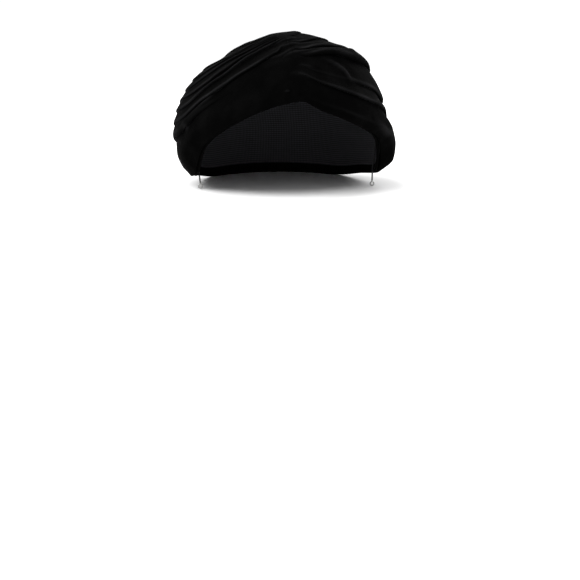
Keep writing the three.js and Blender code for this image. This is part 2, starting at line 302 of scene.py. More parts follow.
def woven_back(name, thread_colour, gap_colour):
    """A plain cotton weave: matte, with a fine grid of threads and darker gaps."""
    material, tree = new_material(name)
    lie = add_node(tree, "ShaderNodeAttribute", attribute_name="lie_mm")
    along_and_down = add_node(tree, "ShaderNodeSeparateXYZ", {"Vector": lie.outputs["Vector"]})
    heights = []
    for axis in ("X", "Y"):
        turn = add_node(
            tree,
            "ShaderNodeMath",
            {0: along_and_down.outputs[axis], 1: math.pi / THREAD_MM},
            operation="MULTIPLY",
        )
        wave = add_node(tree, "ShaderNodeMath", {0: turn.outputs["Value"]}, operation="SINE")
        heights.append(add_node(tree, "ShaderNodeMath", {0: wave.outputs["Value"]}, operation="ABSOLUTE"))
    weave = add_node(
        tree,
        "ShaderNodeMath",
        {0: heights[0].outputs["Value"], 1: heights[1].outputs["Value"]},
        operation="MULTIPLY",
    )
    colour = add_node(
        tree,
        "ShaderNodeMix",
        {"Factor": weave.outputs["Value"], "A": linear(gap_colour), "B": linear(thread_colour)},
        data_type="RGBA",
    )
    bump = add_node(
        tree,
        "ShaderNodeBump",
        {"Strength": 0.5, "Distance": 0.15 * MM, "Height": weave.outputs["Value"]},
    )
    shader = add_node(
        tree,
        "ShaderNodeBsdfPrincipled",
        {
            "Base Color": colour.outputs["Result"],
            "Roughness": 0.9,
            "Specular IOR Level": 0.15,
            "Normal": bump.outputs["Normal"],
        },
    )
    finish_material(tree, shader)
    return material


# the cap has no painted crest highlight, so its third colour does not show
cap_velvet = velvet("black_velvet_of_the_cap", "040404", "070707", "2b2b2c", sheen=0.08)
cap_back = woven_back("black_cotton_velvet_back", "4a4a4e", "242427")
print("materials:", cap_velvet.name, cap_back.name)

# %% [markdown]
# ## Cloth with two faces
# A real edge of cloth is rounded, because it is turned under. A flat mesh with a Solidify modifier would end
# in a sharp wall, so each cloth piece is two grids, an outer and an inner face, that come together in a
# rounded edge and are welded there. The mesh is then closed, and can be measured as a solid sheet.


# %% Two grids to one closed mesh
SHARP_DEGREES = 100.0  # only a folded-back edge is sharp
WELD_MM = 0.001


def grid_area(points):
    """The area of a grid of points, in square metres: half the cross product of each quad's diagonals."""
    rising = points[1:, 1:] - points[:-1, :-1]
    falling = points[:-1, 1:] - points[1:, :-1]
    return float(np.linalg.norm(np.cross(rising, falling), axis=-1).sum() / 2)


def cloth(name, outer, inner, crest_highlight, materials, lie=None, turned_rows=0):
    """A closed mesh from an outer and an inner grid of points whose borders meet, and its cloth's flat area.

    The first material covers the outer face and the last rows of the inner one, where the cloth is turned
    under, and the last material covers the rest. The cloth is taken to be cut as large as the outer face with
    all its folds.
    """
    stations, rows = outer.shape[:2]
    index = np.arange(stations * rows).reshape(stations, rows)
    quads = np.stack([index[:-1, :-1], index[1:, :-1], index[1:, 1:], index[:-1, 1:]], axis=-1)
    top = quads.reshape(-1, 4)
    under = top[:, ::-1] + stations * rows
    points = np.concatenate([outer.reshape(-1, 3), inner.reshape(-1, 3)])
    mesh = bpy.data.meshes.new(name)
    mesh.from_pydata(points.tolist(), [], np.concatenate([top, under]).tolist())
    inner_slots = np.full((stations - 1, rows - 1), len(materials) - 1)
    inner_slots[:, rows - 1 - turned_rows :] = 0
    mesh.polygons.foreach_set("material_index", [0] * len(top) + inner_slots.ravel().tolist())
    # the painted highlight on fold crests goes to the velvet's shader as an attribute, with none on the inner
    # face
    crest_highlights = mesh.attributes.new("crest_highlight", "FLOAT", "POINT")
    crest_highlights.data.foreach_set("value", np.concatenate([crest_highlight.ravel(), np.zeros(crest_highlight.size)]))
    if lie is not None:
        lies = mesh.attributes.new("lie_mm", "FLOAT_VECTOR", "POINT")
        lies.data.foreach_set("vector", np.concatenate([lie.reshape(-1, 3)] * 2).ravel())
    shell = bmesh.new()
    shell.from_mesh(mesh)
    bmesh.ops.remove_doubles(shell, verts=shell.verts, dist=WELD_MM * MM)
    bmesh.ops.dissolve_degenerate(shell, dist=WELD_MM * MM, edges=shell.edges)
    bmesh.ops.recalc_face_normals(shell, faces=shell.faces)
    open_edges = sum(not edge.is_manifold for edge in shell.edges)
    shell.to_mesh(mesh)
    shell.free()
    mesh.polygons.foreach_set("use_smooth", [True] * len(mesh.polygons))
    mesh.set_sharp_from_angle(angle=math.radians(SHARP_DEGREES))
    piece = bpy.data.objects.new(name, mesh)
    bpy.context.collection.objects.link(piece)
    for material in materials:
        mesh.materials.append(material)
    area = grid_area(outer)
    print(f"{name}: {len(mesh.polygons)} faces, {open_edges} open edges, cloth area {area:.4f} m2")
    return piece, area


def edge_roundness(distance_mm, radius_mm):
    """How full the cloth's wall is at a distance from its edge, as a quarter of a circle."""
    left = np.clip(1 - distance_mm / radius_mm, 0, 1)
    return np.sqrt(1 - left**2)


# %% [markdown]
# ## The cap
# The cap is the velvet that everything is sewn to. It shows inside the hat, where its woven back is bare, and
# as a rounded rim below the drapes' hems, where the velvet is turned under and stitched down. It could be a
# half sphere that is scaled and cut, but the rim would then be a ragged line across its faces. So it is a
# grid of bearings and rings that ends on the rim, with a soft unevenness, because cloth that has been blocked
# over a form is never as true as the form.

# %% Make the cap
CAP_BEARINGS = 180
CAP_RINGS = 70
RIM_CROWDING = 1.5  # how much closer the rings lie beside the rim
TURNED_RINGS = 9  # the velvet is turned under at the rim, about 8 mm of it
RIM_ROUND_MM = 1.1
DENT_MM = 0.35
DENT_SIZE_MM = 24.0
DENT_CALM = 8  # the higher, the closer to the rim the dents reach
ARC_MM = 120.0  # from apex to rim, near enough to lay out edges and weave
GIRTH_RADIUS_MM = 80.0  # of the rim, near enough to lay out the weave
SEED_STEP = Vector((13.7, 5.3, 2.9))  # how far apart two seeds read the noise


def soft_noise(places, seed):
    """Smooth noise from -1 to 1 at places measured in its own wavelengths."""
    shift = SEED_STEP * seed
    return np.array([noise.noise(Vector(place) + shift) for place in places])


bearing, reach = np.meshgrid(
    np.linspace(0, 360, CAP_BEARINGS + 1),
    1 - (1 - np.linspace(0, 1, CAP_RINGS)) ** RIM_CROWDING,
    indexing="ij",
)
flat_bearing = bearing.ravel() % 360
flat_reach = reach.ravel()
rest = hat_points(flat_bearing, flat_reach, np.zeros(flat_reach.size))
dents = DENT_MM * soft_noise(rest / (DENT_SIZE_MM * MM), seed=1) * (1 - flat_reach**DENT_CALM)
fullness = edge_roundness((1 - flat_reach) * ARC_MM, RIM_ROUND_MM)
middle = -CAP_WALL / 2 + np.minimum(dents, 0)
half_wall = CAP_WALL / 2 * fullness
cap_outer = hat_points(flat_bearing, flat_reach, middle + half_wall).reshape(*bearing.shape, 3)
cap_inner = hat_points(flat_bearing, flat_reach, middle - half_wall).reshape(*bearing.shape, 3)
lie = np.stack(
    [np.radians(bearing) * GIRTH_RADIUS_MM, reach * ARC_MM, np.zeros(bearing.shape)],
    axis=-1,
)
cap, cap_area = cloth(
    "velvet_cap",
    cap_outer,
    cap_inner,
    np.zeros(bearing.shape),
    (cap_velvet, cap_back),
    lie,
    TURNED_RINGS,
)
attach(cap, "root")
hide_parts("crown")

# %% [markdown]
# ## The drapes
# Each drape is one cut of velvet, pleated by hand and sewn to the other along a seam over the top. It could
# be draped by simulation, but such pleats are stitched, and each lies where the maker put it, so tables give
# the folds: where the folded edge of each one lies, and how far it rises, at five stations from centre front
# to centre back. Between the tables' points the folds run in smooth curves, wander a little and rise
# unevenly, as cloth does. In front, most folds are tucks that hang over their own crease, so that the crease
# is a dark line. Behind the ears, where less holds them, the tucks open into rounder rolls. The inner face
# has no folds and lies smoothly over the cap, where nothing of it is seen.

# %% How a drape lies on the cap
# On the plan of the cap the apex is 0 and the rim 1. A drape runs from its hem on the rim to its upper border
# on the seam, and the seam bows to the left on its way from centre front to centre back.
DRAPE_WALL = 2.2
SEAT_GAP = 0.7
BORDER_FRONT = -0.1
BORDER_BACK = 0.55
SEAM_HEM = -0.012
SEAM_BOW = -0.07
SEAM_SWELL = 3.5  # how far both drapes stand off the cap at the seam
SEAM_WIDTH = 0.1  # how far from the seam the folds are drawn in
STATIONS = (0.0, 0.15, 0.28, 0.42, 1.0)  # front, brow, temple, ear and back, as shares of the hem


def smoothstep(x, low, high):
    t = np.clip((x - low) / (high - low), 0, 1)
    return t * t * (3 - 2 * t)


def seam_x(y):
    """The seam's place on the plan: an arc between the ends of the borders, and straight beyond them."""
    on_arc = np.clip(y, BORDER_FRONT, BORDER_BACK)
    past_arc = (y - on_arc) / (np.sign(y) - on_arc)
    return SEAM_HEM + SEAM_BOW * (1 - on_arc**2) * (1 - past_arc)


def freedom(plan_x, plan_y):
    """How free the folds are: 0 on the seam, where they are sewn flat, and 1 away from it."""
    return smoothstep(np.abs(plan_x - seam_x(plan_y)), 0, SEAM_WIDTH)


# %% How far each drape stands off the cap
# The rows go from the hem to the upper border, and each gives the stand-off in millimetres at the five
# stations.
LEFT_BODY = [
    {"across": 0, "swell": (0, 0, 0, 0, 0)},
    {"across": 0.05, "swell": (1, 1, 1.9, 4.5, 0.5)},
    {"across": 0.12, "swell": (1.5, 1.8, 4, 8, 1.5)},
    {"across": 0.2, "swell": (1.5, 1.8, 4, 8.2, 2)},
    {"across": 0.3, "swell": (1.5, 1.8, 4.6, 10.5, 2)},
    {"across": 0.45, "swell": (1, 1.3, 4.1, 10, 2)},
    {"across": 0.58, "swell": (1, 1, 3.5, 6.6, 1.5)},
    {"across": 0.7, "swell": (1, 0.6, 1, 2.8, 1)},
    {"across": 1, "swell": (1.5, 1.5, 1.5, 1.5, 1)},
]
RIGHT_BODY = [
    {"across": 0, "swell": (0, 0, 0, 0, 0)},
    {"across": 0.05, "swell": (1.5, 1.9, 2.3, 5.8, 0.5)},
    {"across": 0.12, "swell": (1.5, 1.8, 3.5, 7.5, 1.5)},
    {"across": 0.2, "swell": (1.5, 1.1, 1.5, 1, 2)},
    {"across": 0.3, "swell": (2, 1.3, 0.5, 0.2, 2)},
    {"across": 0.45, "swell": (2.5, 3.8, 3.2, 3, 2)},
    {"across": 0.55, "swell": (2, 3, 3.5, 2.5, 1.5)},
    {"across": 0.7, "swell": (1.5, 1.3, 1.8, 1.8, 1)},
    {"across": 1, "swell": (2.5, 2.5, 3.5, 3, 1)},
]

# %% The folds, from the hem up
# A fold is a tuck unless its section is given, and the painted highlight on its crest is full unless its
# highlight is given.
LEFT_FOLDS = [
    {"name": "front band", "edge": (0, 0, 0, 0, 0), "rise": (0, 0, 0, 0, 0), "section": "band"},
    {
        "name": "ear pleat",
        "edge": (0.45, 0.3, 0.225, 0.2, 0.17),
        "rise": (0, 0, 0.5, 2.8, 1),
        "section": "pleat",
        "highlight": 0.5,
    },
    {"name": "fan pleat 1", "edge": (0.645, 0.44, 0.29, 0.27, 0.25), "rise": (1.5, 2, 2.5, 1.2, 1.5)},
    {"name": "fan pleat 2", "edge": (0.805, 0.64, 0.395, 0.325, 0.34), "rise": (1.5, 2.5, 2.5, 1.2, 1.5)},
    {"name": "fan pleat 3", "edge": (0.855, 0.725, 0.455, 0.38, 0.43), "rise": (1.5, 2.5, 2.5, 0.9, 1.5)},
    {"name": "fan pleat 4", "edge": (0.89, 0.785, 0.57, 0.435, 0.52), "rise": (1.5, 2, 2, 0.8, 1.5)},
    {"name": "fan pleat 5", "edge": (0.92, 0.835, 0.65, 0.5, 0.61), "rise": (1.5, 2, 1.6, 0.8, 1.5)},
    {"name": "top pleat", "edge": (0.945, 0.88, 0.735, 0.575, 0.72), "rise": (1, 1.5, 1.2, 0.8, 1.5)},
    {
        "name": "border",
        "edge": (0.97, 0.93, 0.84, 0.72, 0.85),
        "rise": (1, 1.5, 1, 1, 1.5),
        "section": "sewn",
    },
]
RIGHT_FOLDS = [
    {
        "name": "hem roll",
        "edge": (0, 0, 0, 0, 0),
        "rise": (0, 1, 2.5, 3, 0),
        "section": "band",
        "highlight": 0.5,
    },
    {"name": "lower band", "edge": (0.24, 0.193, 0.168, 0.21, 0.2), "rise": (1, 2.6, 2.8, 2, 1.5)},
    {"name": "hooked pleat", "edge": (0.335, 0.287, 0.288, 0.325, 0.31), "rise": (0.3, 0.3, 2.2, 2.5, 2)},
    {
        "name": "puffed fold",
        "edge": (0.46, 0.485, 0.45, 0.49, 0.45),
        "rise": (0.5, 4, 5, 3.5, 2),
        "section": "pleat",
        "highlight": 0.6,
    },
    {"name": "upper pleat", "edge": (0.53, 0.585, 0.565, 0.61, 0.58), "rise": (2, 3, 2, 2.5, 2)},
    {"name": "top pleat", "edge": (0.675, 0.705, 0.715, 0.74, 0.72), "rise": (1.5, 1.5, 1.5, 1.5, 1.5)},
    {
        "name": "border",
        "edge": (0.83, 0.84, 0.85, 0.87, 0.86),
        "rise": (1, 1, 1, 1.5, 1.5),
        "section": "sewn",
    },
]

# Sections of a fold from its crease to the next: share of the way across, and share of its rise
SECTIONS = {
    "band": [(0, 0), (0.1, 0.55), (0.25, 1), (0.45, 0.8), (0.65, 0.4), (0.85, 0.1), (1, 0)],
    "pleat": [
        (0.06, 0),
        (-0.04, 0.2),
        (-0.06, 0.5),
        (0.03, 0.82),
        (0.17, 0.98),
        (0.33, 1),
        (0.55, 0.78),
        (0.8, 0.34),
        (1, 0),
    ],
    "tuck": [
        (0.06, 0),
        (-0.03, 0.25),
        (-0.04, 0.6),
        (0.0, 0.88),
        (0.07, 1),
        (0.16, 0.88),
        (0.3, 0.58),
        (0.5, 0.34),
        (0.75, 0.15),
        (1, 0),
    ],
    "roll": [
        (0.06, 0),
        (0.08, 0.3),
        (0.12, 0.64),
        (0.2, 0.91),
        (0.34, 1),
        (0.56, 0.76),
        (0.8, 0.3),
        (1, 0),
    ],
    "sewn": [
        (0.06, 0),
        (-0.02, 0.3),
        (0.05, 0.75),
        (0.2, 1),
        (0.4, 0.8),
        (0.62, 0.4),
        (0.82, 0.1),
        (1, 0),
    ],
}

# %% Rows of a drape at one station
CREASE_TUCK = 0.06
FOLD_ROWS = {"band": 34, "pleat": 18, "tuck": 20, "sewn": 18}
EDGE_CROWDING = 1.7  # how much closer the rows lie beside the hem and the border
WANDER = 0.007
UNEVEN_RISE = 0.22
HIGHLIGHT_HALF_MM = 1.3  # half the width of the painted highlight line on a crest
CREST_WEIGHT = 12  # how closely the painted highlight line keeps to the highest rows
FULL_HIGHLIGHT_MM = 2.5  # a fold this high gets the painted highlight in full
LEAST_HIGHLIGHT = 0.3  # the painted highlight comes and goes along a crest, down to this share
DIMMEST_BELOW = -0.4  # where the highlight's noise is lower, the crest's painted highlight is weakest
BRIGHTEST_ABOVE = 0.3  # and where it is higher, most
SOFT_FROM = 0.4  # behind the ear the tucks open into rounder, fuller rolls
SOFT_TO = 0.65
SOFT_RISE = 0.7  # how much more they rise there
SOFT_HIGHLIGHT_LOSS = 0.6  # how much weaker their painted highlight is

# Noise along the folds: how far apart two folds read it, its waves along the hem, and the layer that is read
DRIFT_NOISE = {"step": 3.1, "waves": 5.0, "layer": 0}
RISE_NOISE = {"step": 7.3, "waves": 8.0, "layer": 4}
HIGHLIGHT_NOISE = {"step": 5.7, "waves": 12.0, "layer": 9}


def fold_noise(kind, fold_number, along, seed):
    """Smooth noise from -1 to 1 along one fold."""
    return noise.noise(Vector((fold_number * kind["step"] + seed, along * kind["waves"], kind["layer"])))


def section_at(kind, t):
    """A section's shares across a fold and of its rise, at shares t of the way along its own table."""
    table = np.array(SECTIONS[kind])
    index = np.arange(len(table))
    steps = t * (len(table) - 1)
    return np.array([curve_through(index, column)(steps) for column in table.T])


def fold_rows(folds, along, seed):
    """Where a drape's rows lie at one station, as shares across it, with the rise and painted highlight of the
    folds.

    The second list of places runs evenly from crease to crease, with no overhang.
    """
    edges = []
    for k, fold in enumerate(folds):
        edge = float(curve_through(STATIONS, fold["edge"])(along))
        drift = WANDER * fold_noise(DRIFT_NOISE, k, along, seed)
        edges.append(edge + drift if k else edge)
    edges.append(1.0)
    creases = [0.0]
    for k in range(1, len(folds)):
        creases.append(edges[k] + CREASE_TUCK * (edges[k + 1] - edges[k]))
    creases.append(1.0)
    across = []
    evenly = []
    rises = []
    crest_highlights = []
    for k, fold in enumerate(folds):
        kind = fold.get("section", "tuck")
        t = np.linspace(0, 1, FOLD_ROWS[kind], endpoint=False)
        if k == 0:
            t = t**EDGE_CROWDING
        if k == len(folds) - 1:
            t = 1 - (1 - t) ** EDGE_CROWDING
        soft = smoothstep(along, SOFT_FROM, SOFT_TO) if kind == "tuck" else 0
        share, lift = (1 - soft) * section_at(kind, t) + soft * section_at("roll", t)
        places = edges[k] + share * (creases[k + 1] - edges[k])
        places[0] = creases[k]
        uneven = 1 + UNEVEN_RISE * fold_noise(RISE_NOISE, k, along, seed)
        rise = float(curve_through(STATIONS, fold["rise"])(along)) * uneven * (1 + SOFT_RISE * soft)
        across.append(places)
        evenly.append(places if kind == "band" else creases[k] + t * (creases[k + 1] - creases[k]))
        rises.append(lift * rise)
        # painted highlight: a thin grey line along each crest, full on high folds and coming and going along
        # each fold
        crest_place = np.average(places, weights=lift**CREST_WEIGHT)
        from_crest = (places - crest_place) * ARC_MM
        patch = smoothstep(fold_noise(HIGHLIGHT_NOISE, k, along, seed), DIMMEST_BELOW, BRIGHTEST_ABOVE)
        highlight = fold.get("highlight", 1) * min(rise / FULL_HIGHLIGHT_MM, 1) * (1 - SOFT_HIGHLIGHT_LOSS * soft)
        highlight *= LEAST_HIGHLIGHT + (1 - LEAST_HIGHLIGHT) * patch
        crest_highlights.append(highlight * np.exp(-((from_crest / HIGHLIGHT_HALF_MM) ** 2)))
    across.append([1.0])
    evenly.append([1.0])
    rises.append([0.0])
    crest_highlights.append([0.0])
    return tuple(np.concatenate(rows) for rows in (across, evenly, rises, crest_highlights))


# %% [markdown]
# Besides the long pleats there are short ridges, where the cloth is pushed up and runs out again, and a few
# that cross the seam, so that one drape seems to flow into the other. They could be extra folds in the
# tables, but a fold there runs the whole length of a drape. So each is a short line, and the cloth rises
# along it in a smooth hump that fades towards both ends. Lines on one drape are drawn on its own flat cloth,
# as shares along and across it, and lines that cross the seam on the plan of the cap.

# %% Short ridges
HEM_LENGTH_MM = 280.0
PLAN_MM = 115.0  # from apex to rim on the plan
RIDGE_POINTS = 60
LEFT_RIDGES = [
    {
        "name": "by the ear",
        "line": [(0.35, 0.17), (0.365, 0.21), (0.38, 0.25)],
        "rise": 1.2,
        "half_width": 2.5,
    },
    {
        "name": "below the fan",
        "line": [(0.235, 0.345), (0.265, 0.305), (0.3, 0.262), (0.335, 0.24), (0.385, 0.228)],
        "rise": 1.3,
        "half_width": 1.6,
    },
    {
        "name": "over a tacking stitch",
        "line": [(0.026, 0.124), (0.034, 0.117), (0.042, 0.112)],
        "rise": 1.2,
        "half_width": 1.1,
    },
]
RIGHT_RIDGES = [
    {
        "name": "hook below the puffed fold",
        "line": [
            (0.09, 0.46),
            (0.132, 0.43),
            (0.16, 0.39),
            (0.178, 0.345),
            (0.184, 0.3),
            (0.205, 0.294),
            (0.25, 0.302),
        ],
        "rise": 2.0,
        "half_width": 2.6,
    },
    {
        "name": "across the puffed fold",
        "line": [(0.19, 0.505), (0.256, 0.513), (0.306, 0.53), (0.345, 0.545)],
        "rise": 1.4,
        "half_width": 1.6,
    },
    {
        "name": "edge of the puffed fold",
        "line": [(0.165, 0.488), (0.2, 0.478), (0.235, 0.466), (0.28, 0.455)],
        "rise": 1.0,
        "half_width": 1.2,
    },
    {
        "name": "above the ear",
        "line": [(0.24, 0.17), (0.33, 0.2), (0.39, 0.26)],
        "rise": 1.2,
        "half_width": 2.2,
    },
    {
        "name": "over the ear",
        "line": [(0.28, 0.1), (0.35, 0.13), (0.4, 0.18)],
        "rise": 0.5,
        "half_width": 2.2,
    },
    {
        "name": "on the lobe",
        "line": [(0.225, 0.075), (0.26, 0.045), (0.3, 0.042), (0.345, 0.07), (0.4, 0.1)],
        "rise": 2.0,
        "half_width": 2.8,
    },
]
SEAM_RIDGES = [
    {
        "name": "fan pleat 1",
        "line": [(-0.21, -0.486), (-0.11, -0.499), (-0.01, -0.46)],
        "rise": 1.2,
        "half_width": 1.8,
    },
    {
        "name": "fan pleat 2",
        "line": [(-0.2, -0.393), (-0.088, -0.405), (0.028, -0.363), (0.15, -0.245)],
        "rise": 1.3,
        "half_width": 1.8,
    },
    {
        "name": "fan pleat 3",
        "line": [(-0.22, -0.294), (-0.077, -0.298), (0.04, -0.245), (0.14, -0.16)],
        "rise": 1.2,
        "half_width": 1.8,
    },
    {
        "name": "upper pleat",
        "line": [(-0.12, -0.541), (0.003, -0.516), (0.115, -0.405)],
        "rise": 1.6,
        "half_width": 2.0,
    },
    {
        "name": "hooked pleat",
        "line": [(-0.03, -0.685), (0.04, -0.67), (0.1, -0.65)],
        "rise": 0.5,
        "half_width": 1.6,
    },
    {
        "name": "lower band",
        "line": [(-0.09, -0.74), (-0.02, -0.76), (0.06, -0.775), (0.17, -0.781)],
        "rise": 0.9,
        "half_width": 1.7,
    },
]


def ridge_shares(ridge, x_mm, y_mm, unit_mm):
    """How high one short ridge stands at each place, as a share of its rise: unit_mm scales its line."""
    corners = np.array(ridge["line"]) * unit_mm
    steps = np.linspace(0, 1, RIDGE_POINTS)
    corner_steps = np.linspace(0, 1, len(corners))
    line_x = curve_through(corner_steps, corners[:, 0])(steps)
    line_y = curve_through(corner_steps, corners[:, 1])(steps)
    away = np.hypot(x_mm[..., None] - line_x, y_mm[..., None] - line_y)
    fade = np.sin(math.pi * steps[away.argmin(axis=-1)])
    return fade * np.exp(-((away.min(axis=-1) / ridge["half_width"]) ** 2))


def with_ridges(lifted, crest_highlight, ridges, x_mm, y_mm, unit_mm):
    """A drape's lift and painted highlight with short ridges added to them."""
    for ridge in ridges:
        shares = ridge_shares(ridge, x_mm, y_mm, unit_mm)
        lifted = lifted + ridge["rise"] * shares
        # each short ridge also gets a painted highlight along its top
        crest_highlight = np.maximum(crest_highlight, shares**2 * ridge["rise"] / FULL_HIGHLIGHT_MM)
    return lifted, crest_highlight


for place, ridges in (("left", LEFT_RIDGES), ("right", RIGHT_RIDGES), ("over the seam", SEAM_RIDGES)):
    print("short ridges", place + ":", [ridge["name"] for ridge in ridges])

# %% Where a drape's places lie
DRAPE_STATIONS = 230
END_CROWDING = 0.35  # share of the stations' spacing that closes up towards the two ends
BORDER_LENGTH_MM = 65.0


def drape_stations():
    """Shares of the hem from centre front to centre back, closer together towards both ends."""
    shares = np.linspace(0, 1, DRAPE_STATIONS)
    return (1 - END_CROWDING) * shares + END_CROWDING * (1 - np.cos(math.pi * shares)) / 2


def plan_places(side, along, across):
    """A drape's places on the plan: straight lines from the hem on the rim to the border on the seam."""
    start = math.asin(SEAM_HEM)
    turn = start + (side * math.pi - 2 * start) * along
    border_y = BORDER_FRONT + (BORDER_BACK - BORDER_FRONT) * along
    plan_x = np.sin(turn) * (1 - across) + seam_x(border_y) * across
    plan_y = -np.cos(turn) * (1 - across) + border_y * across
    return plan_x, plan_y


def edge_distances(along, across):
    """How far a drape's places are from the seam and from the hem, in millimetres."""
    length = HEM_LENGTH_MM + (BORDER_LENGTH_MM - HEM_LENGTH_MM) * across
    from_seam = np.minimum(np.minimum(along, 1 - along) * length, (1 - across) * ARC_MM)
    return from_seam, across * ARC_MM


# %% Stand-off and wrinkles of a drape
PULL_MM = 0.5  # long wrinkles that run with the folds
PULL_SIZE_MM = (48.0, 9.0)
CRUMPLE_MM = 0.45  # small dents every way
CRUMPLE_SIZE_MM = 13.0
EDGE_CALM_MM = 9.0


def body_swell(body, stations, across):
    """How far a drape stands off the cap, before its folds, in millimetres."""
    rows_across = [row["across"] for row in body]
    swell = []
    for station, places in zip(stations, across):
        swells = [curve_through(STATIONS, row["swell"])(station) for row in body]
        swell.append(curve_through(rows_across, swells)(places))
    return np.array(swell)


def wrinkles(along, across, seed):
    """Long pulls and small crumples of a drape in millimetres, which die out towards its edges."""
    flat = np.stack([along * HEM_LENGTH_MM, across * ARC_MM, np.zeros(along.shape)], axis=-1).reshape(-1, 3)
    pulls = soft_noise(flat / np.array([*PULL_SIZE_MM, 1]), seed) * PULL_MM
    crumples = soft_noise(flat / CRUMPLE_SIZE_MM, seed + 1) * CRUMPLE_MM
    nearest_edge = np.minimum(*edge_distances(along, across))
    return (pulls + crumples).reshape(along.shape) * smoothstep(nearest_edge, 0, EDGE_CALM_MM)


# %% The faces of a drape
def seat_height(side, body, stations, along, across):
    """How far a drape's inner face stands off the cap, in millimetres."""
    free = freedom(*plan_places(side, along, across))
    sewn_swell = SEAM_SWELL * smoothstep(across, 0, SEAM_WIDTH) * (1 - free)
    return SEAT_GAP + sewn_swell + body_swell(body, stations, across) * free


def drape_face(side, along, across, height):
    """A grid of points at a drape's places, this far off the cap."""
    plan_x, plan_y = plan_places(side, along, across)
    bearing = np.degrees(np.arctan2(plan_x, -plan_y)).ravel()
    reach = np.hypot(plan_x, plan_y).ravel()
    return hat_points(bearing, reach, height.ravel()).reshape(*along.shape, 3)


# %% One drape
HEM_ROUND_MM = 1.5
SEAM_ROUND_MM = 0.5


def make_drape(name, side, body, folds, ridges, seed):
    """One drape as closed cloth, with its area: side is -1 on the left and 1 on the right."""
    stations = drape_stations()
    rows = [fold_rows(folds, station, seed) for station in stations]
    across, evenly, rise, crest_highlight = (np.array(values) for values in zip(*rows))
    along = np.repeat(stations[:, None], across.shape[1], axis=1)
    # on the seam the folds are flat, so their rows can't hang over each other there
    across = evenly + (across - evenly) * freedom(*plan_places(side, along, across))

    plan_x, plan_y = plan_places(side, along, across)
    free = freedom(plan_x, plan_y)
    flat_mm = (HEM_LENGTH_MM, ARC_MM)
    plan_mm = (PLAN_MM, PLAN_MM)
    lifted = rise + wrinkles(along, across, seed)
    lifted, crest_highlight = with_ridges(lifted, crest_highlight, ridges, along * flat_mm[0], across * flat_mm[1], flat_mm)
    lifted, crest_highlight = with_ridges(
        lifted * free, crest_highlight * free, SEAM_RIDGES, plan_x * plan_mm[0], plan_y * plan_mm[1], plan_mm
    )

    from_seam, from_hem = edge_distances(along, across)
    wall = np.maximum(DRAPE_WALL + lifted, DRAPE_WALL / 2)
    rounded_wall = wall * edge_roundness(from_hem, HEM_ROUND_MM)
    over_seat = (wall + rounded_wall) / 2
    under_face = over_seat - rounded_wall * edge_roundness(from_seam, SEAM_ROUND_MM)
    outer = seat_height(side, body, stations, along, across) + over_seat
    inner = seat_height(side, body, stations, along, evenly) + under_face
    faces = (drape_face(side, along, across, outer), drape_face(side, along, evenly, inner))
    piece, area = cloth(name, *faces, crest_highlight, (drape_velvet,))
    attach(piece, "root")
    return piece, area


# %% [markdown]
# The two drapes could be one piece, but on the real hat a seam parts them, and each has its own folds. They
# are made by the same function and differ only in their tables. Along the seam both lie flat and stand off
# the cap alike, so the pile of one runs into the pile of the other and hides the stitches.

# %% The left and the right drape
left_drape, left_area = make_drape("velvet_left_drape", -1, LEFT_BODY, LEFT_FOLDS, LEFT_RIDGES, seed=2)
right_drape, right_area = make_drape("velvet_right_drape", 1, RIGHT_BODY, RIGHT_FOLDS, RIGHT_RIDGES, seed=5)
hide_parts("left_drape")
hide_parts("right_drape")

# %% [markdown]
# ## The wire grips
# A short spring wire inside each ear holds the hat to the head. Its stem is wound with black thread, and its
# end is bent into a small bare eye. The winding could be bump only, but a stem this thin shows it in its
# outline, so the tube's radius carries a helix of thread. The eye is a ring of smooth wire whose neck runs up
# into the winding.

# %% Thread and steel
THREAD_FUZZ_MM = 0.5
WIRE_SCRATCH_MM = 0.4


def wound_thread(name, colour, worn_colour):
    """Mercerised black cotton, wound tight: a smooth dark thread with a faint lustre on each turn."""
    material, tree = new_material(name)
    place = add_node(tree, "ShaderNodeTexCoord").outputs["Object"]
    fuzz = add_node(
        tree,
        "ShaderNodeTexNoise",
        {"Vector": place, "Scale": 1 / (THREAD_FUZZ_MM * MM), "Detail": 2.0},
    )
    mixed = add_node(
        tree,
        "ShaderNodeMix",
        {"Factor": fuzz.outputs["Fac"], "A": linear(colour), "B": linear(worn_colour)},
        data_type="RGBA",
    )
    shader = add_node(
        tree,
        "ShaderNodeBsdfPrincipled",
        {"Base Color": mixed.outputs["Result"], "Roughness": 0.6, "Specular IOR Level": 0.3},
    )
    finish_material(tree, shader)
    return material


def spring_steel(name, colour, dull_colour):
    """Drawn spring steel: a grey metal with fine scratches along the wire that blur what it reflects."""
    material, tree = new_material(name)
    place = add_node(tree, "ShaderNodeTexCoord").outputs["Object"]
    scratch = add_node(
        tree,
        "ShaderNodeTexNoise",
        {"Vector": place, "Scale": 1 / (WIRE_SCRATCH_MM * MM), "Detail": 4.0},
    )
    mixed = add_node(
        tree,
        "ShaderNodeMix",
        {"Factor": scratch.outputs["Fac"], "A": linear(colour), "B": linear(dull_colour)},
        data_type="RGBA",
    )
    rough = add_node(
        tree,
        "ShaderNodeMapRange",
        {"Value": scratch.outputs["Fac"], "To Min": 0.2, "To Max": 0.45},
    )
    shader = add_node(
        tree,
        "ShaderNodeBsdfPrincipled",
        {"Base Color": mixed.outputs["Result"], "Metallic": 1.0, "Roughness": rough.outputs["Result"]},
    )
    finish_material(tree, shader)
    return material


thread = wound_thread("black_cotton_winding", "0d0d0e", "1c1c1e")
steel = spring_steel("drawn_spring_steel", "b9b9b6", "8c8c8a")
print("materials:", thread.name, steel.name)

# %% A tube along a path
TUBE_SIDES = 16
STEPS_PER_POINT = 40


